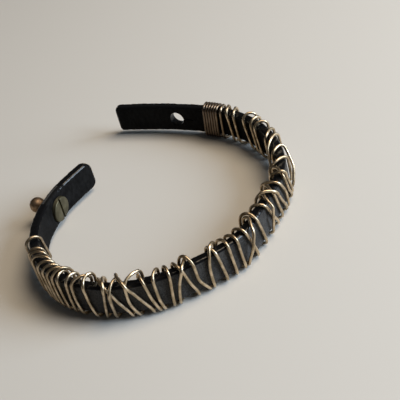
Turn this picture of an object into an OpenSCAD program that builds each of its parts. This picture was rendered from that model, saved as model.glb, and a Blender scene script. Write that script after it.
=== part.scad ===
// Open leather strap bracelet, wound with fine antique brass wire, standing on its edge
// as it would by itself. Millimetres, Z up, the floor at Z = 0.
// The strap runs from the stud tip, round the wrist, to the tip with the button hole.
// Every place on it is a distance along the strap's middle line, measured from the stud tip.

/* [Strap] */
// Width of the strap, edge to edge
strap_w = 9.5; // [8:0.1:12]
// Thickness of the leather
strap_t = 3; // [2.4:0.1:3.6]
// Bevel along the four long edges of the strap
edge_bevel = 0.5; // [0.3:0.1:0.7]
// Corner radius of the stud tip, seen from the side
stud_tip_r = 2.6; // [1:0.1:4]
// Corner radius of the hole tip, seen from the side
hole_tip_r = 1.4; // [0.6:0.1:4]

/* [Button hole] */
// Place of the button hole along the strap
hole_at = 201.8; // [198:0.1:206]
// Diameter of the button hole
hole_d = 4.8; // [4.2:0.1:5.2]
// Reach of the slit from the middle of the hole, toward the wire
slit_reach = 6.2; // [3:0.1:7]
// Width of the slit
slit_w = 0.4; // [0.3:0.1:0.8]

/* [Stud and screw] */
// Place of the stud along the strap
stud_at = 18.2; // [14:0.1:22]
// Height of the stud's middle over the middle of the strap
stud_rise = -0.3; // [-0.5:0.05:0.5]
// How far the stud leans upward, in degrees
stud_lean = 7; // [0:0.5:8]
// Diameter of the stud's round head
head_d = 4.8; // [4:0.1:5]
// Height of the stud over the leather
stud_h = 7; // [6:0.1:8]
// Diameter of the stud's neck
neck_d = 2.9; // [2.6:0.1:3.2]
// Diameter of the stud's base
base_d = 5.6; // [5:0.1:6.4]
// Diameter of the screw head on the wrist side
screw_d = 7.8; // [6:0.1:8]
// Height of the screw head
screw_head_h = 1.3; // [1:0.1:1.4]
// Diameter of the screw's shank
shank_d = 1.9; // [1.6:0.1:2]
// Turn of the slot away from upright, in degrees
slot_turn = -5; // [-45:1:45]

/* [Wire] */
// Thickness of the wire
wire_d = 0.86; // [0.76:0.01:0.88]
// Middle of the wire off the flat faces of the leather
wire_stand = 0.62; // [0.6:0.01:0.7]
// Bend radius of the tightest turns over the strap's upper edge
arch_r = 1.35; // [1.3:0.05:1.5]
// Bend radius of the wire under the strap's lower edge
under_r = 1.35; // [1.3:0.05:1.5]

/* [Hidden] */
$fa = 6;
$fs = 0.2;

// The strap's plan, a row for each bend of its middle line: [length, radius].
// All bend the same way, round the wrist.
LENGTH = 0; RADIUS = 1;
bends = [
  [10.2, 112],
  [24.5, 37.6],
  [28.4, 31.5],
  [29.6, 30.1],
  [12.3, 99],
  [13.6, 23.6],
  [16.5, 361],
  [9.6, 23.7],
  [45.4, 40.95],
  [17, 126],
  [17, 158],
];
// Where the middle line starts, [x, y, heading in degrees], before it is centred.
start = [-30.73, 24.04, 221.8];

// The wire's turns in the order they are wound, a row for each turn. The first six numbers
// are the places along the strap where the wire passes an edge or the middle of the outer
// face, and the last is how far the turn's loop stands up from the tightest one:
// [lower inner edge, upper inner edge, top, upper outer edge, outer face, lower outer edge, loop].
LOOP = 6;
turns = [
  [36, 39.7, 40.4, 41, 42, 43.3, 0.9],
  [44.2, 45.8, 45.1, 45, 45.2, 46.4, 0.5],
  [46.8, 48.6, 47, 46.5, 46.8, 48.6, 0.7],
  [49.8, 52, 49.3, 48.4, 48.6, 50.4, 0.8],
  [51.4, 54, 52.8, 52.2, 52.4, 53.8, 0.8],
  [54.6, 56.7, 55.6, 54.8, 54.9, 56, 0.9],
  [57.1, 59.2, 58.1, 57, 56.7, 57.6, 1.1],
  [58.5, 61, 60, 58.9, 58.6, 59.4, 0.6],
  [60.4, 60.3, 60.3, 60.7, 60.9, 61.6, 0.5],
  [62.3, 64.8, 64.3, 64.1, 63.5, 63.8, 1.1],
  [65.2, 69.2, 67.1, 65.8, 65.3, 66.2, 1.1],
  [67.4, 69.9, 68.7, 69.1, 69.2, 70.2, 0.6],
  [71, 73.2, 73.9, 74.8, 73.6, 72.8, 0.5],
  [72.4, 71.6, 72.8, 74.7, 77.2, 79.5, 0.1],
  [78.6, 77.4, 76.9, 76.3, 75.6, 75.3, 0.3],
  [75.9, 77, 78.1, 80.1, 82.7, 84.8, 1],
  [84.2, 84.2, 81.4, 80, 79.7, 81.3, 1.2],
  [82, 83.1, 83.7, 84.4, 85.1, 86.4, 0.4],
  [87.2, 88.7, 87.6, 86.8, 86.8, 87.6, 0.6],
  [88.6, 90.3, 90.8, 90.8, 90.3, 89.9, 0.5],
  [91.1, 92.9, 93.2, 93.9, 95.2, 96.7, 0.2],
  [96.4, 96.4, 95.8, 94, 92.2, 91.5, 0.3],
  [93.4, 95, 96.3, 97.2, 97.5, 100, 0.6],
  [100.9, 102.9, 103.2, 103.6, 104.4, 105, 0.1],
  [105, 105.3, 103.5, 101.9, 101, 101.1, 0.4],
  [103.3, 107.1, 107.5, 107.2, 107.5, 107.9, 0],
  [108.9, 109, 110.1, 110, 110.2, 110.7, 0],
  [111.7, 112.4, 113, 113.1, 114.5, 115.8, 0],
  [116.8, 118, 117.8, 115.6, 113.2, 111.8, 0],
  [114.5, 118.1, 118.7, 118.2, 119.4, 120.5, 0],
  [121, 122.6, 123.3, 123.8, 126.2, 128.9, 0],
  [129.2, 129, 127.4, 125.7, 124.6, 125, 0],
  [124.9, 126.1, 127.4, 129.4, 132.8, 135.2, 0],
  [134.5, 132.1, 130.9, 129.4, 130.5, 131.9, 0],
  [131.1, 133.2, 133.2, 133.7, 136.1, 136.7, 0],
  [137.4, 136.9, 137, 137.8, 140.2, 142, 0],
  [141.6, 140.7, 139.4, 137, 138, 140.7, 0],
  [140.4, 142.8, 144.4, 145.4, 147, 148, 0],
  [148.8, 148.7, 150.7, 151.3, 147.4, 144.4, 0],
  [145.7, 154.3, 156.5, 157.7, 157.5, 156.9, 0],
  [157.8, 158, 160, 161.2, 161.4, 162, 0],
  [163.4, 165.9, 165.7, 165, 165.2, 165.6, 0.5],
  [166.6, 168.4, 168.7, 169.2, 168.8, 168.2, 0.5],
  [169.8, 172.4, 172.1, 171, 171.6, 173.6, 0.9],
  [176.6, 177.6, 178.4, 179.6, 178.9, 178.3, 0.2],
  [179.3, 180.7, 181.4, 182.4, 182.6, 183.4, 0.2],
  [184, 183.3, 183.8, 184.3, 184.6, 185.3, 0],
  [186.2, 185.2, 185.3, 185.6, 185.9, 186.4, 0],
  [187.2, 186.2, 186.3, 186.6, 186.9, 187.4, 0],
  [188.2, 187.2, 187.3, 187.6, 187.9, 188.4, 0],
  [189.2, 188.2, 188.3, 188.6, 188.9, 189.4, 0],
  [190.2, 189.2, 189.3, 189.6, 189.9, 190.4, 0],
  [191.2, 190.2, 190.3, 190.6, 190.9, 191.4, 0],
];
// How far a turn is lifted over another that it crosses: [turn, first point, lifts in mm].
// The points are the fourteen of one turn, as listed in points.
lifts = [
  [7, 1, [0.74, 1.33, 0.56, 0.79, 1.28, 0.57]],
  [11, 1, [0.08, 0.78, 0.98, 1.41, 0.84, 0.06]],
  [12, 1, [1.29, 1.12, 0, 0, 0.12, 0.41, 0.78, 1.21, 0.71, 0.03]],
  [14, 9, [1.43, 0.76]],
  [15, 1, [0.04, 0.57, 0.83, 0.73, 0.21, 0.09, 1.4, 1.76, 0.38]],
  [16, 3, [0.3, 0.75, 0.24]],
  [21, 7, [0.88, 1.6, 0.58, 0.03]],
  [22, 4, [0.14, 1.27, 0.47]],
  [24, 5, [0.64, 1.15]],
  [25, 1, [1.31, 1.16]],
  [28, 9, [1.01, 1.21]],
  [29, 1, [0.11, 0.96, 1.16, 1.09, 0.97, 0.21]],
  [31, 9, [1.33, 0.96]],
  [32, 5, [1.29, 1.04, 0.73, 1.62, 0.51, 0.03]],
  [34, 1, [0.4, 1.52, 0.15]],
  [35, 5, [0.03, 0.74, 1.75, 0.67, 0.03]],
  [37, 1, [1.32, 1.11]],
  [38, 10, [1.2, 0.22]],
  [39, 1, [1.22, 0.81]],
];

// The middle line
function after(p, b) = let (a = b[LENGTH] / b[RADIUS] * 180 / PI)
  [p[0] + b[RADIUS] * (sin(p[2] + a) - sin(p[2])),
   p[1] - b[RADIUS] * (cos(p[2] + a) - cos(p[2])), p[2] + a];
function poses_from(p, i) =
  i == len(bends) ? [p] : concat([p], poses_from(after(p, bends[i]), i + 1));
poses = poses_from(start, 0);
function ends_from(s, i) =
  i == len(bends) ? [s] : concat([s], ends_from(s + bends[i][LENGTH], i + 1));
ends = ends_from(0, 0);
strap_len = ends[len(bends)];
function bend_at(s, i = 0) = i == len(bends) - 1 || s < ends[i + 1] ? i : bend_at(s, i + 1);
function pose_at(s) = let (i = bend_at(s)) after(poses[i], [s - ends[i], bends[i][RADIUS]]);
// A point beside the middle line: off is toward the wrist, z is up
function beside(s, off, z) = let (p = pose_at(s)) [p[0] - off * sin(p[2]), p[1] + off * cos(p[2]), z];

// The wire's track round the strap's section, a row for each stretch:
// [length, x, z, radius, direction]. A bend has its middle at x, z; a straight stretch has
// no radius and starts at x, z. x is toward the wrist, z counts from the strap's middle, and
// the direction is the one out of the leather, where the stretch starts, in degrees.
half_t = strap_t / 2;
half_z = strap_w / 2 - edge_bevel;
face = half_t + wire_stand;
top_x = face - arch_r;
low_x = face - under_r;
high = PI / 4 * arch_r;
low = PI / 4 * under_r;
track = [
  [low, low_x, -half_z, under_r, -45],
  [2 * half_z, face, -half_z, 0, 0],
  [2 * high, top_x, half_z, arch_r, 0],
  [2 * top_x, top_x, half_z + arch_r, 0, 90],
  [2 * high, -top_x, half_z, arch_r, 90],
  [2 * half_z, -face, half_z, 0, 180],
  [2 * low, -low_x, -half_z, under_r, 180],
  [2 * low_x, -low_x, -half_z - under_r, 0, 270],
  [low, low_x, -half_z, under_r, 270]];
function length_to(n) = n == 0 ? 0 : track[n - 1][0] + length_to(n - 1);
e = [for (n = [0 : len(track)]) length_to(n)];
trip = e[len(track)];
// Point on the track and direction out of the leather: [x, z, degrees]
function on_track(p, i = 0) = let (t = track[i], a = t[4] + (t[3] == 0 ? 0 : p / t[3] * 180 / PI))
  p > t[0] && i < len(track) - 1 ? on_track(p - t[0], i + 1) :
  t[3] == 0 ? [t[1] - p * sin(a), t[2] + p * cos(a), a] :
  [t[1] + t[3] * cos(a), t[2] + t[3] * sin(a), a];

// Along the track: the six places of the table, and the fourteen points of a turn
places = [0, e[2] + high, (e[3] + e[4]) / 2, e[4] + high, (e[5] + e[6]) / 2, e[6] + low];
third = high / 1.5;
points = [0, e[1], e[2], e[2] + third, e[3] - third, e[3], e[4], e[4] + third, e[5] - third, e[5],
  (e[5] + e[6]) / 2, e[6], e[6] + low, (e[7] + e[8]) / 2];
// How much of its loop each point takes; and the last turn's number of points
loop_share = [0, 0, 0, 0.35, 0.8, 1, 1, 0.8, 0.35, 0, 0, 0, 0, 0];
last_points = 12;
function lift_of(i, k) = max([0, for (l = lifts)
  if (l[0] == i && k >= l[1] && k < l[1] + len(l[2])) l[2][k - l[1]]]);
count = len(turns);
stops = [for (i = [0 : count - 1], k = [0 : len(points) - 1]) if (i < count - 1 || k < last_points)
  [i * trip + points[k], turns[i][LOOP] * loop_share[k] + lift_of(i, k)]];
end = stops[len(stops) - 1][0];

// The place along the strap is a smooth curve through the table's places, never overshooting.
// Past the last place it runs on a little.
run_on = 0.6;
knots = concat([for (i = [0 : count - 1], k = [0 : 5]) [i * trip + places[k], turns[i][k]]],
  [[count * trip, turns[count - 1][5] + run_on]]);
function gap(j) = knots[j + 1][0] - knots[j][0];
function slope(j) = (knots[j + 1][1] - knots[j][1]) / gap(j);
slopes = [for (j = [0 : len(knots) - 1]) j == 0 ? slope(0) : j == len(knots) - 1 ? slope(j - 1) :
  let (a = slope(j - 1), b = slope(j), u = 2 * gap(j) + gap(j - 1), v = gap(j) + 2 * gap(j - 1))
  a * b <= 0 ? 0 : (u + v) / (u / a + v / b)];
function along(p) = let (
    i = floor(p / trip), j = 6 * i + len([for (q = places) if (q <= p - i * trip) q]) - 1,
    h = gap(j), t = (p - knots[j][0]) / h)
  (2 * pow(t, 3) - 3 * t * t + 1) * knots[j][1] + (pow(t, 3) - 2 * t * t + t) * h * slopes[j]
  + (3 * t * t - 2 * pow(t, 3)) * knots[j + 1][1] + (pow(t, 3) - t * t) * h * slopes[j + 1];

// The wire's middle at a distance along its way: as laid out, and with its bends eased, as
// the mean of places round it
function laid(p) = let (q = on_track(p - floor(p / trip) * trip), h = lookup(p, stops))
  beside(along(p), q[0] + h * cos(q[2]), q[1] + h * sin(q[2]));
ease = [1, 2, 3, 2, 1] / 9;
ease_step = 0.55;
function eased(p) = ease * [for (k = [-2 : 2]) laid(min(max(p + ease_step * k, 0), end))];
function out_of(p) = let (a = on_track(p - floor(p / trip) * trip)[2], h = pose_at(along(p))[2])
  [-cos(a) * sin(h), cos(a) * cos(h), sin(a)];
way = [for (s = stops) eased(s[0])];

// Six corners round the wire at each of its points, one of them always turned outward. They
// reach a little past the wire's round, so that the six sides hold as much brass.
corner_reach = 1.05;
wire_r = wire_d / 2 * corner_reach;
corners = [for (j = [0 : len(way) - 1]) let (
    t0 = way[min(j + 1, len(way) - 1)] - way[max(j - 1, 0)], t = t0 / norm(t0),
    o = out_of(stops[j][0]), u0 = o - (o * t) * t, u = u0 / norm(u0), v = cross(t, u))
  for (k = [0 : 5]) way[j] + wire_r * (cos(60 * k) * u + sin(60 * k) * v)];
// Heights count from the strap's middle; this is the middle's height over the floor
mid_z = -min([for (c = corners) c[2]]);

// The middle of the whole bracelet in plan, so that it stands centred on the origin
stud_end = [for (a = [0 : 10 : 350])
  let (b = beside(stud_at, -(half_t + stud_h - head_d / 2) * cos(stud_lean), 0))
  [b[0] + head_d / 2 * cos(a), b[1] + head_d / 2 * sin(a)]];
rim = concat([for (c = corners) [c[0], c[1]]], [for (s = [0, strap_len], o = [-half_t, half_t])
  let (b = beside(s, o, 0)) [b[0], b[1]]], stud_end);
centre = [for (c = [0, 1]) (max([for (p = rim) p[c]]) + min([for (p = rim) p[c]])) / 2];
module centred() translate([-centre[0], -centre[1], 0]) children();

// At a place on the strap: +X out of the outer face, +Y along the strap, +Z up
module at_strap(s, z = mid_z) {
  p = pose_at(s);
  translate([p[0], p[1], z]) rotate([0, 0, p[2] - 90]) children();
}
// On the stud's axis, which leaves the strap's outer face along +Z
module at_stud() at_strap(stud_at, mid_z + stud_rise) rotate([0, 90 - stud_lean, 0]) children();

module strap_section(less) {
  x = half_t - less; y = strap_w / 2 - less; b = edge_bevel;
  polygon([[-x + b, -y], [x - b, -y], [x, -y + b], [x, y - b],
    [x - b, y], [-x + b, y], [-x, y - b], [-x, -y + b]]);
}

// One bend of the strap, a true turned piece of the section. Every second one is a hair
// slimmer and reaches a little into both its neighbours, so that they all join.
join_reach = 0.3;
join_less = 0.02;
module bend(i) {
  p = poses[i]; r = bends[i][RADIUS];
  reach = i % 2 == 1 ? join_reach : 0;
  less = i % 2 == 1 ? join_less : 0;
  translate([p[0] - r * sin(p[2]), p[1] + r * cos(p[2]), mid_z])
    rotate([0, 0, p[2] - 90 - reach / r * 180 / PI])
      rotate_extrude(angle = (bends[i][LENGTH] + 2 * reach) / r * 180 / PI, $fn = 240)
        translate([r, 0]) strap_section(less);
}

// What a rounded tip leaves off: a square corner less its circle, through the leather. The
// circle is a hair large, so that it crosses the strap's outline and doesn't only touch it.
tip_cross = 0.01;
module tip_corners(s, r, dir) {
  for (up = [-1, 1]) at_strap(s) rotate([0, 90, 0]) translate([-up * strap_w / 2, 0, -strap_t])
    linear_extrude(2 * strap_t) difference() {
      translate([up > 0 ? -0.5 : -r, dir > 0 ? -r : -0.5]) square([r + 0.5, r + 0.5]);
      translate([up * r, -dir * r]) circle(r + tip_cross, $fn = 48);
    }
}

// How deep the stud's base and the screw's head sit in the leather, the room round them and
// the gap under them
seat = 0.35;
play = 0.3;
clear = 0.05;
module leather_strap() color([0.09, 0.085, 0.08]) centred() difference() {
  union() for (i = [0 : len(bends) - 1]) bend(i);
  tip_corners(0, stud_tip_r, -1);
  tip_corners(strap_len, hole_tip_r, 1);
  // the screw's hole, with a flat seat on each face
  at_stud() {
    translate([0, 0, -strap_t]) cylinder(d = shank_d + play, h = 2 * strap_t, $fn = 32);
    translate([0, 0, half_t - seat]) cylinder(d = base_d + play, h = strap_t, $fn = 48);
    translate([0, 0, -half_t - strap_t + seat]) cylinder(d = screw_d + play, h = strap_t, $fn = 48);
  }
  // the button hole and its slit
  at_strap(hole_at) rotate([0, 90, 0]) translate([0, 0, -strap_t]) {
    cylinder(d = hole_d, h = 2 * strap_t, $fn = 48);
    translate([-slit_w / 2, -slit_reach, 0]) cube([slit_w, slit_reach, 2 * strap_t]);
  }
}

// One continuous wire, swept with six sides
module wire_wrap() color([0.52, 0.45, 0.34]) centred() translate([0, 0, mid_z]) {
  n = len(way); m = 6; z = (n - 1) * m;
  sides = [for (j = [0 : n - 2], k = [0 : m - 1]) let (a = j * m + k, b = j * m + (k + 1) % m)
    for (f = [[a, a + m, b + m], [a, b + m, b]]) f];
  caps = concat([for (k = [1 : m - 2]) [0, k, k + 1]],
    [for (k = [1 : m - 2]) [z, z + k + 1, z + k]]);
  polyhedron(points = corners, faces = concat(sides, caps), convexity = 20);
}

// The stud: base, cone, neck and round head turned in one, with a socket for the screw
base_h = 0.7;
cone_h = 0.5;
socket = 3;
module ball_stud() color([0.55, 0.47, 0.33]) centred()
  at_stud() translate([0, 0, half_t - seat + clear]) difference() {
    union() {
      cylinder(d = base_d, h = base_h + seat, $fn = 64);
      translate([0, 0, base_h + seat]) cylinder(d1 = base_d, d2 = neck_d, h = cone_h, $fn = 64);
      cylinder(d = neck_d, h = stud_h + seat - head_d / 2, $fn = 64);
      translate([0, 0, stud_h + seat - head_d / 2]) sphere(d = head_d, $fn = 64);
    }
    translate([0, 0, -1]) cylinder(d = shank_d + 2 * clear, h = 1 + socket + seat, $fn = 32);
  }

// The screw: a slotted head on the wrist side, its shank through the leather into the stud
rim_h = 0.35;
rim_less = 0.8;
slot_w = 0.8;
slot_deep = 0.6;
head_under = -half_t + seat - clear;
head_face = head_under - screw_head_h;
module stud_screw() color([0.56, 0.5, 0.32]) centred()
  at_stud() {
    difference() {
      translate([0, 0, head_face]) {
        cylinder(d1 = screw_d - rim_less, d2 = screw_d, h = rim_h, $fn = 64);
        translate([0, 0, rim_h]) cylinder(d = screw_d, h = screw_head_h - rim_h, $fn = 64);
      }
      rotate([0, 0, slot_turn]) translate([-screw_d, -slot_w / 2, head_face - 1])
        cube([2 * screw_d, slot_w, slot_deep + 1]);
    }
    translate([0, 0, head_under - rim_h]) cylinder(d = shank_d, h = strap_t - seat + socket, $fn = 32);
  }

leather_strap();
wire_wrap();
ball_stud();
stud_screw();
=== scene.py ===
# %% [markdown]
# # A leather strap bracelet, wound with antique brass wire
#
# This lesson dresses an open bracelet that stands on its edge. It has a thick black leather
# strap, one long brass wire wound round it by hand, and a ball stud held by a slotted screw.
#
# The imported model already has each piece at its true size, but with flat bevels and a
# six-sided wire. A picture needs more: soft rims that catch the light, painted edges that
# are not quite even, a round wire, and worn metal and leather. So each piece is made again
# from the same sizes, and it then stands in for its plain solid.
#
# Lengths are in millimetres until `to_mesh` turns them into metres. A place on the strap is
# given by the distance *s* along its middle line, counted from the stud tip, the offset
# *off* from that line toward the wrist, and the height *z* over the middle of its width.

# %% Load the imported model
import math
import bpy
import numpy as np
from mathutils import Matrix, Vector


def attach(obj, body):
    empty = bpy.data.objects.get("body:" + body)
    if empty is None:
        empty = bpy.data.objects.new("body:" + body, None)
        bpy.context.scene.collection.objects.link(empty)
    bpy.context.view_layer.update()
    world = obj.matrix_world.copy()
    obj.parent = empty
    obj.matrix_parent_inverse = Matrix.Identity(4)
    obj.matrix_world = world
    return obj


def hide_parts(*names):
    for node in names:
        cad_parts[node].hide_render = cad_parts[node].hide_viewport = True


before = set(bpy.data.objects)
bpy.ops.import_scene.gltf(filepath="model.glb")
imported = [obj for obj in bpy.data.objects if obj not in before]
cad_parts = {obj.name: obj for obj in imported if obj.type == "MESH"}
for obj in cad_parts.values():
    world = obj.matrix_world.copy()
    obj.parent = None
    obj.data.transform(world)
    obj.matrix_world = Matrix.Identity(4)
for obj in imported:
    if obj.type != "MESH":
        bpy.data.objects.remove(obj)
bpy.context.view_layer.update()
MM = 0.001
print("nodes:", ", ".join(sorted(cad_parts)))

# %% [markdown]
# ## The strap's middle line
#
# The leather keeps the curve of a wrist: tighter at the sides, almost straight at the
# ends. A Bezier curve would look right, but it wouldn't say how far along the leather a
# place is, and the wire is laid out by exactly that. So the line is a chain of bends, each
# with its own length and radius and all turning the same way, where distances are exact.

# %% The chain of bends
START = (-30.73, 24.04, math.radians(221.8))  # x, y and heading at the stud tip
BENDS = [  # length, radius
    (10.2, 112),
    (24.5, 37.6),
    (28.4, 31.5),
    (29.6, 30.1),
    (12.3, 99),
    (13.6, 23.6),
    (16.5, 361),
    (9.6, 23.7),
    (45.4, 40.95),
    (17, 126),
    (17, 158),
]

def chain():
    """A row for each bend: s where it starts, x, y and heading there, radius, length."""
    s, (x, y, heading), rows = 0.0, START, []
    for length, radius in BENDS:
        rows.append((s, x, y, heading, radius, length))
        end = heading + length / radius
        x += radius * (math.sin(end) - math.sin(heading))
        y -= radius * (math.cos(end) - math.cos(heading))
        s, heading = s + length, end
    return np.array(rows)

CHAIN = chain()
STRAP_LEN = CHAIN[-1, 0] + CHAIN[-1, 5]
print("strap length", round(STRAP_LEN, 1), "mm in", len(BENDS), "bends")

# %% [markdown]
# `place` turns *s* and *off* into a point in plan. The chain starts where `START` says,
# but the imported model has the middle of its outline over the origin, and it stands on the
# wire loops under the strap. `CENTRE` and `MID_Z` are these two shifts. They are the solid
# model's own numbers, so every piece lands on its solid. Moving the finished objects would
# do as well, but then their meshes wouldn't lie where the numbers say.

# %% From a place on the strap to a point
CENTRE = np.array([-10.6588, 6.0122])
MID_Z = 6.043  # the middle of the strap's width over the floor

def place(s, off=0.0):
    """Plan point and heading at s, moved off toward the wrist."""
    s = np.asarray(s, float)
    row = CHAIN[np.clip(np.searchsorted(CHAIN[:, 0], s, "right") - 1, 0, len(CHAIN) - 1)]
    s0, x0, y0, heading0, radius = (row[..., k] for k in range(5))
    heading = heading0 + (s - s0) / radius
    x = x0 + radius * (np.sin(heading) - np.sin(heading0)) - off * np.sin(heading) - CENTRE[0]
    y = y0 - radius * (np.cos(heading) - np.cos(heading0)) + off * np.cos(heading) - CENTRE[1]
    return x, y, heading

print("x and y of the two tips:", [c.round(1) for c in place([0, STRAP_LEN])[:2]])

# %% [markdown]
# ## The leather strap
#
# The strap is cut from thick leather. Its edges were bevelled, rubbed round and painted by
# hand, and that leaves them a little uneven. A box with a Bevel modifier would be too
# perfect, and a displacement texture could push the surface out past its true size. A sum
# of a few sine waves is uneven in the same way on every run, and here it only draws the
# surface in: by a few hundredths of a millimetre on the faces and three times that on the
# painted edges.

# %% How uneven the surface is
STRAP_W = 9.5  # edge to edge
LUMPS = [  # amount, waves a mm along, waves a mm across, shift
    (0.5, 0.11, 0.03, 0.4),
    (0.5, 0.27, -0.08, 2.1),
    (0.45, 0.46, 0.2, 4.0),
    (0.3, 0.83, -0.3, 1.2),
]
SWELL = [  # amount, waves a mm along, waves a mm across, shift
    (0.5, 0.045, 0.02, 1.0),
    (0.5, 0.085, -0.05, 3.3),
    (0.35, 0.17, 0.06, 5.1),
]
LUMP_MM, LUMP_MEAN = 0.035, 1.3  # depth of an amount of 1, and the mean
SWELL_MM, SWELL_MEAN = 0.02, 1.2  # the swell of the leather all over
LUMPS_FROM, LUMPS_FULL = 1.2, 0.4  # how far from an edge the lumps begin and are full

def waves(s, z, rows):
    """The sum of the rows' waves at a place of the surface."""
    return sum(a * np.sin(2 * np.pi * (u * s + v * z) + p) for a, u, v, p in rows)

def drawn_in(s, z):
    """How far the surface lies inside the even section."""
    lumpy = np.clip((np.abs(z) - STRAP_W / 2 + LUMPS_FROM) / (LUMPS_FROM - LUMPS_FULL), 0, 1)
    lumps = LUMP_MM * (LUMP_MEAN + waves(s, z, LUMPS))
    return lumps * lumpy + SWELL_MM * (SWELL_MEAN + waves(s, z, SWELL))

for name, z in (("a face", 0.0), ("the upper edge", STRAP_W / 2)):
    depth = drawn_in(np.arange(0, STRAP_LEN, 0.1), z)
    print(name, "is drawn in by", depth.min().round(3), "to", depth.max().round(3), "mm")

# %% [markdown]
# The strap is a tube of rings. Each ring is a rounded rectangle, written as points round
# it, and over the last few millimetres the rectangle shrinks along two quarter circles: one
# makes the tips round from the side, the other makes their rims soft. A curve could sweep
# such a section too, but it would shrink it by the same amount both ways.

# %% The section, and how it shrinks at a tip
STRAP_T = 3.0  # thickness of the leather
ARC_POINTS = 7  # in each corner of the section
FACE_STEPS, EDGE_STEPS = 12, 4  # along its faces and its edges

def round_section(half_t, half_w, radius):
    """Points (off, z) round the section, counter-clockwise from its lower inner corner."""
    corners = []
    for side_t, side_w, first in ((1, -1, -90), (1, 1, 0), (-1, 1, 90), (-1, -1, 180)):
        a = np.radians(first + np.linspace(0, 90, ARC_POINTS))
        off = side_t * (half_t - radius) + radius * np.cos(a)
        z = side_w * (half_w - radius) + radius * np.sin(a)
        corners.append(np.stack([off, z], 1))
    points = []
    for i, corner in enumerate(corners):
        steps = EDGE_STEPS if i % 2 else FACE_STEPS
        share = np.arange(1, steps)[:, None] / steps
        points += [corner, corner[-1] + (corners[(i + 1) % 4][0] - corner[-1]) * share]
    return np.concatenate(points)

def shrink(from_tip, radius):
    """How far a round end draws in at a distance from its tip."""
    from_tip = np.clip(from_tip, 0, radius)
    return radius - np.sqrt(radius * radius - (radius - from_tip) ** 2)

print("points round the section:", len(round_section(STRAP_T / 2, STRAP_W / 2, 1.0)))

# %% [markdown]
# Blender takes a mesh as lists of points and faces. Two things decide how it then looks:
# smooth shading, which hides the facets, and sharp edges, which keep a corner crisp. An
# angle between neighbouring faces chooses between them. The strap and the wire are both
# tubes, so one helper lists the faces of a tube from ring to ring, with a lid at each end.

# %% A mesh from points, and the faces of a tube
CRISP = 35  # degrees

def shade(mesh, crisp=CRISP):
    """Smooth shading, with edges sharper than the angle left crisp."""
    mesh.polygons.foreach_set("use_smooth", [True] * len(mesh.polygons))
    mesh.set_sharp_from_angle(angle=math.radians(crisp))

def to_mesh(name, points, faces, crisp=CRISP):
    """A new object from points in millimetres."""
    mesh = bpy.data.meshes.new(name)
    in_metres = [tuple(float(c) * MM for c in point) for point in points]
    mesh.from_pydata(in_metres, [], [tuple(map(int, face)) for face in faces])
    shade(mesh, crisp)
    mesh.validate()
    piece = bpy.data.objects.new(name, mesh)
    bpy.context.scene.collection.objects.link(piece)
    return piece

def tube_faces(rings, around):
    """The faces of a tube of rings, closed at both ends."""
    faces = []
    for j in range(rings - 1):
        near, far = j * around, (j + 1) * around
        for k in range(around):
            beside = (k + 1) % around
            faces.append((near + k, near + beside, far + beside, far + k))
    faces.append(tuple(range(around))[::-1])
    faces.append(tuple(range((rings - 1) * around, rings * around)))
    return faces

print("a tube of 2 rings of 4 points has", len(tube_faces(2, 4)), "faces")

# %% Sweep the strap
ROUND = 0.85  # radius of the long edges
STUD_TIP_R, HOLE_TIP_R = 2.6, 1.4  # corners of the two tips, seen from the side
RIM_R = 0.6  # radius of the rim round each tip
ALMOST = 0.999  # keeps the arcs of a thin section from meeting
TIP_RINGS, RING_STEP = 10, 0.42  # rings in a tip, and millimetres between the others
TIP_GAP = 0.4  # between a tip's last ring and the others

def strap_ring(s):
    """The strap's outline at s, as points in the model's frame."""
    tip_r, from_tip = (STUD_TIP_R, s) if s < STRAP_LEN / 2 else (HOLE_TIP_R, STRAP_LEN - s)
    soft = shrink(from_tip, RIM_R)
    half_w = STRAP_W / 2 - max(shrink(from_tip, tip_r), soft)
    half_t = STRAP_T / 2 - soft
    section = round_section(half_t, half_w, min(ROUND, half_t, half_w) * ALMOST)
    outside = np.abs(section) > [half_t - ROUND, half_w - ROUND]
    inward = np.where(outside, drawn_in(s, section[:, 1])[:, None], 0)
    off, z = (section - np.sign(section) * inward).T
    x, y, _ = place(np.full(len(off), s), off)
    return np.stack([x, y, z + MID_Z], 1)

def strap():
    ease = 1 - np.cos(np.linspace(0, np.pi / 2, TIP_RINGS))
    between = np.arange(STUD_TIP_R + TIP_GAP, STRAP_LEN - HOLE_TIP_R - TIP_GAP, RING_STEP)
    places = np.concatenate([STUD_TIP_R * ease, between, STRAP_LEN - HOLE_TIP_R * ease[::-1]])
    rings = [strap_ring(s) for s in places]
    return to_mesh("strap", np.concatenate(rings), tube_faces(len(rings), len(rings[0])))

strap_piece = strap()
print("strap before its holes:", len(strap_piece.data.polygons), "faces")

# %% [markdown]
# ## The holes and seats
#
# The leather has a button hole with a slit at one end. At the other end it has a hole for
# the screw's shank, and a shallow seat on each face, where the stud's base and the screw's
# head have pressed in. They are placed by frames that stand on the strap: the Z axis of
# such a frame leaves the outer face, and for the stud it leans up a little.

# %% Where the stud and the button hole are
STUD_AT, HOLE_AT = 18.2, 201.8  # along the strap
STUD_RISE = -0.3  # over the middle of the strap's width
STUD_LEAN = 7.0  # degrees upward

def at_strap(s, z=0.0, lean=0.0):
    """A frame on the strap: Z leaves the outer face and leans up, Y runs along the strap."""
    x, y, heading = place(s)
    outward = Matrix.Rotation(heading - math.pi / 2, 4, "Z")
    upward = Matrix.Rotation(math.radians(90 - lean), 4, "Y")
    return Matrix.Translation((x, y, MID_Z + z)) @ outward @ upward

stud_frame = at_strap(STUD_AT, STUD_RISE, STUD_LEAN)
wrist_side = stud_frame @ Matrix.Rotation(math.pi, 4, "X")
hole_frame = at_strap(HOLE_AT)
print("the stud stands at", [round(c, 1) for c in stud_frame.translation], "mm")

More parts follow.
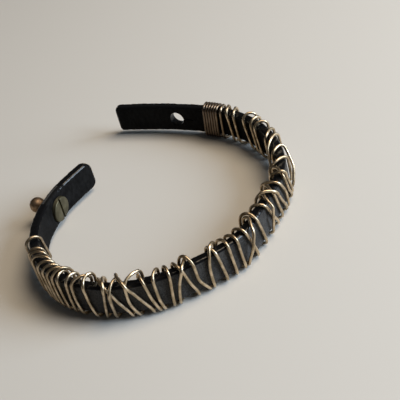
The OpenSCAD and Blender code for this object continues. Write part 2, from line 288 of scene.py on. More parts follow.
# %% [markdown]
# The stud, the screw and the punches that make the holes are all turned parts. Blender's
# Screw modifier could spin an outline, but a Boolean wants a closed mesh without doubled
# points, and that is easier to get by hand: one point at each end of the axis, and a ring
# of points for every row of radius and height between them.

# %% A lathe
def lathe(name, profile, frame_of, sides=72):
    """Turns rows of (radius, height) round an axis; the first and the last lie on it."""
    angles = np.arange(sides) * 2 * math.pi / sides
    rims = profile[1:-1]
    points = [(0, 0, profile[0][1])]
    points += [(r * math.cos(a), r * math.sin(a), z) for r, z in rims for a in angles]
    points += [(0, 0, profile[-1][1])]
    faces = [(0, 1 + (k + 1) % sides, 1 + k) for k in range(sides)]
    for j in range(len(rims) - 1):
        a, b = 1 + j * sides, 1 + (j + 1) * sides
        faces += [(a + k, a + (k + 1) % sides, b + (k + 1) % sides, b + k) for k in range(sides)]
    end = 1 + (len(rims) - 1) * sides
    faces += [(end + k, end + (k + 1) % sides, len(points) - 1) for k in range(sides)]
    return to_mesh(name, [frame_of @ Vector(p) for p in points], faces)

print("the lathe is ready")

# %% [markdown]
# A hollow punch makes a hole, and a burnisher then softens its rim. A plain cylinder as the
# cutter would leave a knife edge. So the cutter is a spool that flares at the face of the
# leather, and the flare becomes the soft rim. The slit is cut with a blade, a thin slab.

# %% The cutters
PAST = 2  # how far a cutter stands out of the leather
FLARE_AT = (20, 45, 70, 90)  # degrees round the flare's quarter circle
FLOOR_EDGE = 0.05  # the small corner round the floor of a seat

def spool(name, r, frame_of, flare, depth=None):
    """A cutter right through the leather, or depth deep from the face that Z leaves."""
    face = STRAP_T / 2
    top = [(r, face - flare)]
    for a in np.radians(FLARE_AT):
        top.append((r + flare - flare * math.cos(a), face - flare + flare * math.sin(a)))
    top += [(r + flare, face + PAST)]
    end = [(0, face + PAST)]
    if depth is None:
        bottom = [(radius, -z) for radius, z in reversed(top)]
        return lathe(name, [(0, -face - PAST)] + bottom + top + end, frame_of)
    bed = [(0, face - depth), (r - FLOOR_EDGE, face - depth), (r, face - depth + FLOOR_EDGE)]
    return lathe(name, bed + top[1:] + end, frame_of)

def slab(name, low, high, frame_of):
    """A box between two corners, in the given frame."""
    corners = [(x, y, z) for x in (low[0], high[0]) for y in (low[1], high[1]) for z in (low[2], high[2])]
    faces = [(0, 1, 3, 2), (4, 6, 7, 5), (0, 4, 5, 1), (2, 3, 7, 6), (0, 2, 6, 4), (1, 5, 7, 3)]
    return to_mesh(name, [frame_of @ Vector(corner) for corner in corners], faces)

print("cutters: spool and slab")

# %% [markdown]
# A Boolean modifier takes one piece from another. Of its solvers the manifold one is fast,
# and it makes a closed mesh out of closed meshes, which is what a punched strap should be.
# The modifiers are then made part of the mesh, so that the mesh itself holds what is seen.

# %% Cut pieces with pieces
def bake_modifiers(piece):
    """Makes the piece's modifiers part of its mesh."""
    seen = piece.evaluated_get(bpy.context.evaluated_depsgraph_get())
    mesh = bpy.data.meshes.new_from_object(seen)
    piece.modifiers.clear()
    old, piece.data = piece.data, mesh
    bpy.data.meshes.remove(old)
    mesh.name = piece.name
    shade(mesh)
    return piece

def cut(piece, cutters):
    """Cuts the cutters out of a piece, and removes them."""
    for cutter in cutters:
        taken = piece.modifiers.new("cut", "BOOLEAN")
        taken.operation, taken.solver, taken.object = "DIFFERENCE", "MANIFOLD", cutter
    bake_modifiers(piece)
    for cutter in cutters:
        bpy.data.objects.remove(cutter)
    return piece

print("ready to cut")

# %% Punch the strap
BASE_D, SCREW_D, SHANK_D = 5.6, 7.8, 1.9  # stud's base, screw's head and shank
HOLE_D = 4.8
SLIT_W, SLIT_REACH = 0.4, 6.2  # its reach from the hole's middle, toward the wire
SEAT = 0.35  # how deep base and head have pressed in
SHANK_ROOM, SEAT_ROOM = 0.15, 0.12  # round the shank, and round base and head
SHANK_RIM, SEAT_RIM, HOLE_RIM = 0.01, 0.2, 0.3  # how far each cutter flares
turned = Matrix.Rotation(math.radians(2), 4, "Z")  # keeps its facets off those of the seats

cut(strap_piece, [
    spool("shank hole", SHANK_D / 2 + SHANK_ROOM, stud_frame @ turned, SHANK_RIM),
    spool("stud seat", BASE_D / 2 + SEAT_ROOM, stud_frame, SEAT_RIM, SEAT),
    spool("screw seat", SCREW_D / 2 + SEAT_ROOM, wrist_side, SEAT_RIM, SEAT),
    spool("button hole", HOLE_D / 2, hole_frame, HOLE_RIM),
    slab("slit", (-SLIT_W / 2, -SLIT_REACH, -STRAP_T), (SLIT_W / 2, 0, STRAP_T), hole_frame),
])
print("strap with its holes:", len(strap_piece.data.polygons), "faces")

# %% [markdown]
# The leather has three surfaces: the grain side, the flesh side toward the wrist, and the
# painted edges. They could be three materials on chosen faces, but then their limits would
# follow the mesh in steps. Instead two numbers are kept at each point, as attributes: how
# far it belongs to a painted edge, and whether it is on the flesh side. The finish blends
# by them. To work them out we need the way back, from a point to its place on the strap.
# Each bend's circle gives an answer, and the bend whose stretch lies nearest is believed.

# %% From a point back to its place on the strap
def locate(x, y):
    """s and off of plan points, from the bend whose stretch they lie over."""
    x, y = np.asarray(x) + CENTRE[0], np.asarray(y) + CENTRE[1]
    best = np.full(x.shape, np.inf)
    s_out, off_out = np.zeros(x.shape), np.zeros(x.shape)
    for s0, x0, y0, heading0, radius, length in CHAIN:
        dx, dy = x - (x0 - radius * np.sin(heading0)), y - (y0 + radius * np.cos(heading0))
        turn = (np.arctan2(dx, -dy) - heading0 + np.pi) % (2 * np.pi) - np.pi
        along, off = turn * radius, radius - np.hypot(dx, dy)
        miss = np.maximum(0, np.maximum(-along, along - length)) + 1e-3 * np.abs(off)
        take = miss < best
        best[take], s_out[take], off_out[take] = miss[take], (s0 + along)[take], off[take]
    return s_out, off_out

print("s of the stud, there and back:", locate(*place([STUD_AT])[:2])[0].round(3))

# %% How far a point belongs to a painted edge
PAINT_OVER = 0.1  # how far the paint runs onto the faces
TIP_PAINT, CORNER_PAINT = 0.9, 0.75  # width of the paint at the tips and their corners
HOLE_PAINT = 0.35  # its width round the button hole
STUD_CLEAR, SKIN = 4.4, 0.15  # this near to the stud and this deep there is no paint

def painted(s, off, z):
    """Millimetres inside the painted zone, 0 outside it."""
    zone = np.maximum(np.abs(z) - (STRAP_W / 2 - ROUND - PAINT_OVER), 0)
    for from_tip, tip_r in ((s, STUD_TIP_R), (STRAP_LEN - s, HOLE_TIP_R)):
        across = np.maximum(np.abs(z) - STRAP_W / 2 + tip_r, 0)
        corner = np.hypot(np.maximum(tip_r - from_tip, 0), across) - tip_r + CORNER_PAINT
        zone = np.maximum(np.maximum(zone, TIP_PAINT - from_tip), corner)
    zone = np.maximum(zone, HOLE_PAINT - (np.hypot(s - HOLE_AT, z) - HOLE_D / 2))
    in_the_leather = (np.abs(s - STUD_AT) < STUD_CLEAR) & (np.abs(off) < STRAP_T / 2 - SKIN)
    return np.where(in_the_leather, 0, zone)

print("paint in the middle of a face:", painted(100.0, STRAP_T / 2, 0.0), "mm")

# %% Mark the painted edges and the flesh side
FULL_PAINT, FLESH_FADE = 0.45, 0.6  # millimetres from none to full

def keep(mesh, name, values):
    """Keeps a number at each point of the mesh."""
    kept = mesh.attributes.new(name, "FLOAT", "POINT")
    kept.data.foreach_set("value", values.astype(np.float32))

def mark(mesh):
    """Keeps both numbers at each point of the strap."""
    flat = np.empty(len(mesh.vertices) * 3)
    mesh.vertices.foreach_get("co", flat)
    x, y, z = (flat.reshape(-1, 3) / MM).T
    s, off = locate(x, y)
    keep(mesh, "edge", np.clip(painted(s, off, z - MID_Z) / FULL_PAINT, 0, 1))
    keep(mesh, "flesh", np.clip(off / FLESH_FADE + 0.5, 0, 1))

mark(strap_piece.data)
print("marks:", [a.name for a in strap_piece.data.attributes if a.name in ("edge", "flesh")])

# %% [markdown]
# ## The wire
#
# One wire runs the whole way, wound by hand: bunched turns, slanting turns and turns that
# cross over others, and a tight coil before the button hole. An Array modifier would make a
# spring of it. So each turn has a row in a table, in the order in which it was wound, with
# the places along the strap where the wire passes each edge and the middle of the outer
# face. The last number is how far the turn's loop stands up from the tightest ones. Where
# a turn crosses earlier ones, the second table lifts it over them.

# %% The turns and the lifts
TURNS = [  # lower inner edge, upper inner edge, top, upper outer edge, outer face, lower outer edge, loop
    (36, 39.7, 40.4, 41, 42, 43.3, 0.9),
    (44.2, 45.8, 45.1, 45, 45.2, 46.4, 0.5),
    (46.8, 48.6, 47, 46.5, 46.8, 48.6, 0.7),
    (49.8, 52, 49.3, 48.4, 48.6, 50.4, 0.8),
    (51.4, 54, 52.8, 52.2, 52.4, 53.8, 0.8),
    (54.6, 56.7, 55.6, 54.8, 54.9, 56, 0.9),
    (57.1, 59.2, 58.1, 57, 56.7, 57.6, 1.1),
    (58.5, 61, 60, 58.9, 58.6, 59.4, 0.6),
    (60.4, 60.3, 60.3, 60.7, 60.9, 61.6, 0.5),
    (62.3, 64.8, 64.3, 64.1, 63.5, 63.8, 1.1),
    (65.2, 69.2, 67.1, 65.8, 65.3, 66.2, 1.1),
    (67.4, 69.9, 68.7, 69.1, 69.2, 70.2, 0.6),
    (71, 73.2, 73.9, 74.8, 73.6, 72.8, 0.5),
    (72.4, 71.6, 72.8, 74.7, 77.2, 79.5, 0.1),
    (78.6, 77.4, 76.9, 76.3, 75.6, 75.3, 0.3),
    (75.9, 77, 78.1, 80.1, 82.7, 84.8, 1),
    (84.2, 84.2, 81.4, 80, 79.7, 81.3, 1.2),
    (82, 83.1, 83.7, 84.4, 85.1, 86.4, 0.4),
    (87.2, 88.7, 87.6, 86.8, 86.8, 87.6, 0.6),
    (88.6, 90.3, 90.8, 90.8, 90.3, 89.9, 0.5),
    (91.1, 92.9, 93.2, 93.9, 95.2, 96.7, 0.2),
    (96.4, 96.4, 95.8, 94, 92.2, 91.5, 0.3),
    (93.4, 95, 96.3, 97.2, 97.5, 100, 0.6),
    (100.9, 102.9, 103.2, 103.6, 104.4, 105, 0.1),
    (105, 105.3, 103.5, 101.9, 101, 101.1, 0.4),
    (103.3, 107.1, 107.5, 107.2, 107.5, 107.9, 0),
    (108.9, 109, 110.1, 110, 110.2, 110.7, 0),
    (111.7, 112.4, 113, 113.1, 114.5, 115.8, 0),
    (116.8, 118, 117.8, 115.6, 113.2, 111.8, 0),
    (114.5, 118.1, 118.7, 118.2, 119.4, 120.5, 0),
    (121, 122.6, 123.3, 123.8, 126.2, 128.9, 0),
    (129.2, 129, 127.4, 125.7, 124.6, 125, 0),
    (124.9, 126.1, 127.4, 129.4, 132.8, 135.2, 0),
    (134.5, 132.1, 130.9, 129.4, 130.5, 131.9, 0),
    (131.1, 133.2, 133.2, 133.7, 136.1, 136.7, 0),
    (137.4, 136.9, 137, 137.8, 140.2, 142, 0),
    (141.6, 140.7, 139.4, 137, 138, 140.7, 0),
    (140.4, 142.8, 144.4, 145.4, 147, 148, 0),
    (148.8, 148.7, 150.7, 151.3, 147.4, 144.4, 0),
    (145.7, 154.3, 156.5, 157.7, 157.5, 156.9, 0),
    (157.8, 158, 160, 161.2, 161.4, 162, 0),
    (163.4, 165.9, 165.7, 165, 165.2, 165.6, 0.5),
    (166.6, 168.4, 168.7, 169.2, 168.8, 168.2, 0.5),
    (169.8, 172.4, 172.1, 171, 171.6, 173.6, 0.9),
    (176.6, 177.6, 178.4, 179.6, 178.9, 178.3, 0.2),
    (179.3, 180.7, 181.4, 182.4, 182.6, 183.4, 0.2),
    (184, 183.3, 183.8, 184.3, 184.6, 185.3, 0),
    (186.2, 185.2, 185.3, 185.6, 185.9, 186.4, 0),
    (187.2, 186.2, 186.3, 186.6, 186.9, 187.4, 0),
    (188.2, 187.2, 187.3, 187.6, 187.9, 188.4, 0),
    (189.2, 188.2, 188.3, 188.6, 188.9, 189.4, 0),
    (190.2, 189.2, 189.3, 189.6, 189.9, 190.4, 0),
    (191.2, 190.2, 190.3, 190.6, 190.9, 191.4, 0),
]
LIFTS = [  # turn, first of its points, lifts
    (7, 1, (0.74, 1.33, 0.56, 0.79, 1.28, 0.57)),
    (11, 1, (0.08, 0.78, 0.98, 1.41, 0.84, 0.06)),
    (12, 1, (1.29, 1.12, 0, 0, 0.12, 0.41, 0.78, 1.21, 0.71, 0.03)),
    (14, 9, (1.43, 0.76)),
    (15, 1, (0.04, 0.57, 0.83, 0.73, 0.21, 0.09, 1.4, 1.76, 0.38)),
    (16, 3, (0.3, 0.75, 0.24)),
    (21, 7, (0.88, 1.6, 0.58, 0.03)),
    (22, 4, (0.14, 1.27, 0.47)),
    (24, 5, (0.64, 1.15)),
    (25, 1, (1.31, 1.16)),
    (28, 9, (1.01, 1.21)),
    (29, 1, (0.11, 0.96, 1.16, 1.09, 0.97, 0.21)),
    (31, 9, (1.33, 0.96)),
    (32, 5, (1.29, 1.04, 0.73, 1.62, 0.51, 0.03)),
    (34, 1, (0.4, 1.52, 0.15)),
    (35, 5, (0.03, 0.74, 1.75, 0.67, 0.03)),
    (37, 1, (1.32, 1.11)),
    (38, 10, (1.2, 0.22)),
    (39, 1, (1.22, 0.81)),
]
print(len(TURNS), "turns,", len(LIFTS), "stretches lifted over others")

# %% [markdown]
# Seen along the strap, every turn goes round the same track: up the wrist side, round the
# upper edge, down the outer face and round under the lower edge. A subdivided box could
# give such a loop too, but a track of straights and arcs knows how long it is, so a point
# on it is one number: the distance from the lower inner corner.

# %% The stretches of the track
BEVEL = 0.5  # the track begins to bend this far before an edge
WIRE_STAND = 0.62  # the wire's middle off the flat faces of the leather
ARCH_R, UNDER_R = 1.35, 1.35  # the tightest bend over the upper edge and under the lower
EIGHTH = math.pi / 4  # of a full turn
HALF_Z = STRAP_W / 2 - BEVEL
FACE = STRAP_T / 2 + WIRE_STAND
TOP_C, LOW_C = FACE - ARCH_R, FACE - UNDER_R
TRACK = [  # length, middle of the arc or start of the straight, radius, first direction
    (EIGHTH * UNDER_R, (LOW_C, -HALF_Z), UNDER_R, -EIGHTH),
    (2 * HALF_Z, (FACE, -HALF_Z), 0, 0),
    (2 * EIGHTH * ARCH_R, (TOP_C, HALF_Z), ARCH_R, 0),
    (2 * TOP_C, (TOP_C, HALF_Z + ARCH_R), 0, 2 * EIGHTH),
    (2 * EIGHTH * ARCH_R, (-TOP_C, HALF_Z), ARCH_R, 2 * EIGHTH),
    (2 * HALF_Z, (-FACE, HALF_Z), 0, 4 * EIGHTH),
    (2 * EIGHTH * UNDER_R, (-LOW_C, -HALF_Z), UNDER_R, 4 * EIGHTH),
    (2 * LOW_C, (-LOW_C, -HALF_Z - UNDER_R), 0, 6 * EIGHTH),
    (EIGHTH * UNDER_R, (LOW_C, -HALF_Z), UNDER_R, 6 * EIGHTH),
]
ENDS = np.cumsum([0] + [row[0] for row in TRACK])
ROUND_TRIP = ENDS[-1]
print("one turn is", round(ROUND_TRIP, 2), "mm of track")

# %% Points of the track
def ring(p):
    """Points (off, z) and outward directions at distances p along the track."""
    p = p % ROUND_TRIP
    k = np.searchsorted(ENDS[:-1], p, "right") - 1
    done = p - ENDS[k]
    rows = [(*middle, radius, first) for _, middle, radius, first in TRACK]
    off0, z0, radius, first = (np.array(column, float)[k] for column in zip(*rows))
    a = first + np.divide(done, radius, out=np.zeros_like(done), where=radius > 0)
    run = np.where(radius > 0, 0, done)
    off = off0 + radius * np.cos(a) - run * np.sin(a)
    z = z0 + radius * np.sin(a) + run * np.cos(a)
    return off, z, np.cos(a), np.sin(a)

highest = ring(np.linspace(0, ROUND_TRIP, 1000))[1].max()
print("the track rises", round(highest, 2), "mm over the middle of the strap")

# %% [markdown]
# A turn can be lifted off its track at fourteen points: the ends of the stretches and a
# few between. Its loop stands up over the upper edge, so the loop's share is full there and
# fades on both sides. `PLACES` says where on the track the table's six places lie.

# %% The points of a turn, and the table's places on it
ARCH, UNDER = EIGHTH * ARCH_R, EIGHTH * UNDER_R
THIRD = ARCH / 1.5  # a third of the way round an upper corner
POINTS = np.array([
    0, ENDS[1], ENDS[2], ENDS[2] + THIRD, ENDS[3] - THIRD, ENDS[3],
    ENDS[4], ENDS[4] + THIRD, ENDS[5] - THIRD, ENDS[5], (ENDS[5] + ENDS[6]) / 2,
    ENDS[6], ENDS[6] + UNDER, (ENDS[7] + ENDS[8]) / 2])
LOOP_SHARE = np.array([0, 0, 0, 0.35, 0.8, 1, 1, 0.8, 0.35, 0, 0, 0, 0, 0])
LAST_POINTS = 12  # the last turn stops at its twelfth
PLACES = np.array([
    0, ENDS[2] + ARCH, (ENDS[3] + ENDS[4]) / 2, ENDS[4] + ARCH, (ENDS[5] + ENDS[6]) / 2,
    ENDS[6] + UNDER])
print("points of a turn:", POINTS.round(1))

# %% [markdown]
# Between the places of the table *s* follows a cubic. An ordinary spline would swing past
# its places and push turns into each other. This one takes as its slope at a place the
# weighted harmonic mean of the slopes on both sides, so it never overshoots.

# %% A curve through the table's places
def smooth_through(knots, values, at):
    """A cubic through every knot that never overshoots."""
    gap = np.diff(knots)
    slope = np.diff(values) / gap
    before, after = 2 * gap[1:] + gap[:-1], gap[1:] + 2 * gap[:-1]
    same = slope[:-1] * slope[1:] > 0  # the curve doesn't turn back at the knot
    weighted = before[same] / slope[:-1][same] + after[same] / slope[1:][same]
    lean = np.zeros(len(knots))
    lean[0], lean[-1] = slope[0], slope[-1]
    lean[1:-1][same] = (before + after)[same] / weighted
    k = np.clip(np.searchsorted(knots, at, "right") - 1, 0, len(gap) - 1)
    t = (at - knots[k]) / gap[k]
    near = (2 * t ** 3 - 3 * t ** 2 + 1) * values[k] + (t ** 3 - 2 * t ** 2 + t) * gap[k] * lean[k]
    far = (3 * t ** 2 - 2 * t ** 3) * values[k + 1] + (t ** 3 - t ** 2) * gap[k] * lean[k + 1]
    return near + far

print("through 0, 1 and 4:", smooth_through(np.arange(3.0), np.array([0, 1.0, 4]), np.arange(0, 2.1, 0.5)))

# %% Lay the wire
RUN_ON = 0.6  # how far s goes on past the table's last place

def lay_wire():
    """Returns a function from distances p along the wire to its middle points, and its end."""
    count, each = len(TURNS), len(POINTS)
    knots = np.concatenate([i * ROUND_TRIP + PLACES for i in range(count)] + [[count * ROUND_TRIP]])
    where = np.append(np.array(TURNS)[:, :6].ravel(), TURNS[-1][5] + RUN_ON)
    marks = np.concatenate([i * ROUND_TRIP + POINTS for i in range(count)])
    heights = np.concatenate([row[6] * LOOP_SHARE for row in TURNS])
    for i, first, lifts in LIFTS:
        heights[i * each + first:i * each + first + len(lifts)] += lifts
    marks, heights = marks[:LAST_POINTS - each], heights[:LAST_POINTS - each]

    def laid(p):
        p = np.clip(p, 0, marks[-1])
        off, z, out_off, out_z = ring(p)
        lift = np.interp(p, marks, heights)
        x, y, heading = place(smooth_through(knots, where, p), off + out_off * lift)
        middle = np.stack([x, y, z + out_z * lift + MID_Z], 1)
        return middle, np.stack([-out_off * np.sin(heading), out_off * np.cos(heading), out_z], 1)
    return laid, marks[-1]

laid, wire_end = lay_wire()
print("the wire's track is", round(wire_end), "mm long")

# %% [markdown]
# A springy wire has no corners, so the laid path is averaged over about two millimetres of
# its length, which eases every bend. A Curve object with a round bevel could carry the
# section, but its points couldn't keep a number of their own. Here a ring of twelve points
# is swept by hand, with one of them always turned outward.

# %% Sweep the wire
WIRE_D = 0.86
WIRE_STEP, WIRE_SIDES, WIRE_CRISP = 0.3, 12, 80
EASE, EASE_STEP = {-2: 1, -1: 2, 0: 3, 1: 2, 2: 1}, 0.55

def unit(rows):
    """Each row made one long."""
    return rows / np.linalg.norm(rows, axis=1)[:, None]

def wire():
    p = np.append(np.arange(0, wire_end, WIRE_STEP), wire_end)
    total = sum(EASE.values())
    way = sum(weight / total * laid(p + EASE_STEP * k)[0] for k, weight in EASE.items())
    ahead, out = unit(np.gradient(way, axis=0)), laid(p)[1]
    out = unit(out - (out * ahead).sum(1)[:, None] * ahead)
    side = np.cross(ahead, out)
    a = np.arange(WIRE_SIDES) * 2 * np.pi / WIRE_SIDES
    spokes = np.cos(a)[:, None] * out[:, None] + np.sin(a)[:, None] * side[:, None]
    points = (way[:, None] + WIRE_D / 2 * spokes).reshape(-1, 3)
    return to_mesh("wire", points, tube_faces(len(way), WIRE_SIDES), WIRE_CRISP), way

wire_piece, wire_way = wire()
pace = np.linalg.norm(np.diff(wire_way, axis=0), axis=1)
print("wire:", round(float(pace.sum()) / 1000, 2), "m long")

# %% [markdown]
# Shade is painted onto the wire as colour, where shade falls on it: the first turns by the stud are a
# little darker, and the tight coil by the button hole is dark. It could be painted on by hand, as vertex
# colours. Here a formula along the strap does it, the same on every run, and each point of the wire keeps
# the result as a number of its own, 1 where it is fully lit.

# %% Mark where shade is painted onto the wire
# Painted shade on the wire: how lit it is by the stud, where it brightens, and how dark the coil is.
LEAST_LIGHT_BY_STUD = 0.66  # by the stud, over the first turns
LIT_FROM, LIT_OVER = 50, 20  # where it grows, and over how many millimetres
COIL_FROM, COIL_OVER, COIL_SHADE = 181, 5, 0.9  # where it drops in the coil, and by how much

def unshaded_at(s):
    """1 where the wire is fully lit, less where shade is painted on it."""
    away_from_stud = np.clip((s - LIT_FROM) / LIT_OVER, 0, 1)
    in_the_coil = np.clip((s - COIL_FROM) / COIL_OVER, 0, 1)
    return LEAST_LIGHT_BY_STUD + (1 - LEAST_LIGHT_BY_STUD) * away_from_stud - COIL_SHADE * in_the_coil

unshaded = unshaded_at(locate(wire_way[:, 0], wire_way[:, 1])[0])
keep(wire_piece.data, "unshaded", np.repeat(unshaded, WIRE_SIDES))
print("rub goes from", unshaded.min().round(2), "to", unshaded.max().round(2))

# %% [markdown]
# ## The ball stud and its screw
#
# The stud is turned brass: a base that sits in the leather, a waist, and the ball that the
# button hole snaps over. A cylinder and a sphere would have its size, but a turned part has
# a small radius on every edge, and here that radius is most of what catches the light. So
# the outline is drawn with its arcs and spun on the lathe. It starts in the socket that
# takes the screw's shank.

# %% Turn the stud
STUD_H = 7.0  # over the leather
HEAD_D, NECK_D = 4.8, 2.9
CLEAR, SOCKET = 0.05, 3.0  # gap between pieces, and depth of the socket
FOOT = STRAP_T / 2 - SEAT + CLEAR  # where base and head begin
CHAMFER = 0.1  # on the edges that nobody sees
BASE_H, BASE_EDGE = 0.7, 0.22  # the base over the leather, and the radius of its edge
BASE_RISE = 0.04, 0.1  # of the base's face, near the neck and at the neck's foot
NECK_FOOT, NECK_TOP = 0.5, 0.25  # radii where the neck leaves the base and meets the ball
NECK_END, NECK_DROP = 2.6, 0.18  # below the ball's middle, and below where the two would meet
BALL_FROM, BALL_TO = 9, 88  # degrees past that meeting, and up from the ball's middle

def arc(r, z, radius, start, stop, steps=6):
    """Profile rows along an arc about (r, z), with its angles in degrees."""
    angles = np.radians(np.linspace(start, stop, steps))
    return [(r + radius * math.cos(a), z + radius * math.sin(a)) for a in angles]

def ball_stud():
    base_r, neck_r, head_r = BASE_D / 2, NECK_D / 2, HEAD_D / 2
    socket_r, socket_top = SHANK_D / 2 + CLEAR, FOOT + SEAT + SOCKET
    top, middle = FOOT + SEAT + BASE_H, FOOT + SEAT + STUD_H - head_r
    meet = math.asin(neck_r / head_r)  # where the neck's line cuts the ball
    profile = [(0, socket_top), (socket_r, socket_top), (socket_r, FOOT + CHAMFER)]
    profile += [(socket_r + CHAMFER, FOOT), (base_r - CHAMFER, FOOT), (base_r, FOOT + CHAMFER)]
    profile += arc(base_r - BASE_EDGE, top - BASE_EDGE, BASE_EDGE, 0, 80, 5)
    profile += [(neck_r + NECK_FOOT + 0.12, top + BASE_RISE[0])]
    profile += arc(neck_r + NECK_FOOT, top + NECK_FOOT + BASE_RISE[1], NECK_FOOT, -90, -180)[1:]
    profile += [(neck_r, middle - NECK_END)]
    fillet = middle - head_r * math.cos(meet) - NECK_DROP
    profile += arc(neck_r + NECK_TOP, fillet, NECK_TOP, 180, 120, 4)
    profile += arc(0, middle, head_r, math.degrees(meet) - 90 + BALL_FROM, BALL_TO, 22)
    return lathe("stud", profile + [(0, middle + head_r)], stud_frame)

stud_piece = ball_stud()
print("stud:", len(stud_piece.data.polygons), "faces")

# %% [markdown]
# The screw's head lies on the wrist side, so it is low and domed, with every edge eased. It
# is spun the same way. Its slot is sawn across with a slab as the cutter, and a Bevel
# modifier that only takes sharp edges then breaks the slot's rims.

# %% Turn the screw and saw its slot
SCREW_HEAD_H = 1.3
HEAD_EDGE, SHANK_EDGE = 0.36, 0.15  # round the head, and at the end of the shank
SHANK_IN = 0.35  # how far the shank runs up into the head
HEAD_DOME = 0.02, 0.03  # its rise half way in, and in the middle
SLOT_W, SLOT_DEEP, SLOT_RIM = 0.8, 0.6, 0.07
SLOT_TURN = -5.0  # degrees away from upright
SAW = 6  # half of the saw's length
SHARP = 50  # degrees: sharper edges than this are rims of the slot

def stud_screw():
    r, shank_r = SCREW_D / 2, SHANK_D / 2
    top, end = FOOT + SCREW_HEAD_H, FOOT + SHANK_IN - (STRAP_T - SEAT + SOCKET)
    profile = [(0, end), (shank_r - SHANK_EDGE, end), (shank_r, end + SHANK_EDGE)]
    profile += [(shank_r, FOOT - CHAMFER), (shank_r + CHAMFER, FOOT)]
    profile += [(r - CHAMFER, FOOT), (r, FOOT + CHAMFER)]
    profile += arc(r - HEAD_EDGE - 0.02, top - HEAD_EDGE, HEAD_EDGE, -4, 84, 8)
    profile += [(r / 2, top + HEAD_DOME[0]), (0, top + HEAD_DOME[1])]
    screw = lathe("screw", profile, wrist_side, 96)
    slot_frame = stud_frame @ Matrix.Rotation(math.radians(SLOT_TURN), 4, "Z")
    low, high = (-SAW, -SLOT_W / 2, -top - 1), (SAW, SLOT_W / 2, -top + SLOT_DEEP)
    cut(screw, [slab("slot", low, high, slot_frame)])
    rims = screw.modifiers.new("rims", "BEVEL")
    rims.width, rims.segments = SLOT_RIM * MM, 2
    rims.limit_method, rims.angle_limit = "ANGLE", math.radians(SHARP)
    return bake_modifiers(screw)

screw_piece = stud_screw()
print("screw:", len(screw_piece.data.polygons), "faces")

# %% [markdown]
# ## Shader maths with ordinary operators
#
# A material in Blender is a graph of nodes. Wired by hand, even `0.3 * noise + 0.5` takes
# two nodes and three links. `Socket` wraps a node's output and overloads the operators, so
# that the same formula in Python adds those nodes by itself. Colours are blended with a Mix
# node, because a Math node would turn them grey.

# %% An output socket that can be calculated with
class Socket:
    """An output of one of a finish's nodes."""
    def __init__(self, finish, output):
        self.finish, self.output = finish, output

    def math(self, operation, a, b, clamp=False):
        settings = {"operation": operation, "use_clamp": clamp}
        return self.finish.node("ShaderNodeMath", settings, {0: a, 1: b})

    def __add__(self, other):
        return self.math("ADD", self, other)

    def __sub__(self, other):
        return self.math("SUBTRACT", self, other)

    def __rsub__(self, other):
        return self.math("SUBTRACT", other, self)

    def __mul__(self, other):
        return self.math("MULTIPLY", self, other)

    __radd__, __rmul__ = __add__, __mul__

    def clamp(self):
        """Kept between 0 and 1."""
        return self.math("ADD", self, 0.0, clamp=True)

    def ramp(self, low, high):
        """0 below low, 1 above high, eased between."""
        sockets = {"Value": self, "From Min": low, "From Max": high}
        return self.finish.node("ShaderNodeMapRange", {"interpolation_type": "SMOOTHSTEP"}, sockets)

    def blend(self, first, second):
        """The first colour where this is 0, and the second where it is 1."""
        a, b = (c if isinstance(c, Socket) else (*c, 1) for c in (first, second))
        return self.finish.node("ShaderNodeMix", {"data_type": "RGBA"}, {"Factor": self, 6: a, 7: b}, 2)

print("Socket is ready")

# %% [markdown]
# `Finish` is a material under way. Its one method `node` adds any kind of node: first the
# settings, because some of them change which sockets there are, and then a value or a link
# for each socket. What is the same all over goes straight onto the shader's own sockets.

# %% A material under way
def socket_name(words):
    """coat_weight becomes Coat Weight."""
    return words.replace("_", " ").title().replace("Ior", "IOR")

class Finish:
    """A material's nodes, and the links into its one shader."""
    def __init__(self, name, **constants):
        self.material = bpy.data.materials.new(name)
        self.material.use_nodes = True
        self.tree = self.material.node_tree
        self.shader = self.tree.nodes["Principled BSDF"]
        for words, value in constants.items():
            self.shader.inputs[socket_name(words)].default_value = value
        self.here = self.node("ShaderNodeTexCoord", {}, {}, "Object")

    def node(self, kind, settings, sockets, output=0):
        """Adds a node and returns one of its outputs."""
        added = self.tree.nodes.new(kind)
        for setting, value in settings.items():
            setattr(added, setting, value)
        for socket, value in sockets.items():
            if isinstance(value, Socket):
                self.tree.links.new(value.output, added.inputs[socket])
            else:
                added.inputs[socket].default_value = value
        return Socket(self, added.outputs[output])

    def feed(self, **links):
        """Links Sockets to the shader."""
        for words, value in links.items():
            self.tree.links.new(value.output, self.shader.inputs[socket_name(words)])

print("coat_weight is the socket", socket_name("coat_weight"))

# %% [markdown]
# The textures are asked for by their fineness, in cells a millimetre, so that a grain can
# be compared with a real one. They lie in the space of the object and have no seams, where
# a picture wrapped round the strap would stretch at its edges.

# %% Textures, kept numbers and bump
def cells(finish, per_mm, stretch=(1, 1, 1)):
    """The places of a texture with so many cells a millimetre."""
    scale = [per_mm / MM * k for k in stretch]
    return finish.node("ShaderNodeVectorMath", {"operation": "MULTIPLY"}, {0: finish.here, 1: scale})

def noise(finish, per_mm, detail=2.0, rough=0.5, stretch=(1, 1, 1)):
    places = cells(finish, per_mm, stretch)
    sockets = {"Vector": places, "Scale": 1.0, "Detail": detail, "Roughness": rough}
    return finish.node("ShaderNodeTexNoise", {}, sockets)

def pebbles(finish, per_mm):
    """Smooth cells, as of a grain."""
    sockets = {"Vector": cells(finish, per_mm), "Scale": 1.0, "Smoothness": 0.6}
    return finish.node("ShaderNodeTexVoronoi", {"feature": "SMOOTH_F1"}, sockets)

def kept(finish, name):
    """A number that was kept at the points of the mesh."""
    return finish.node("ShaderNodeAttribute", {"attribute_name": name}, {}, "Fac")

def bump(finish, height, depth_mm, strength):
    sockets = {"Strength": strength, "Distance": depth_mm * MM, "Height": height}
    finish.feed(normal=finish.node("ShaderNodeBump", {}, sockets))

print("textures: noise and pebbles")
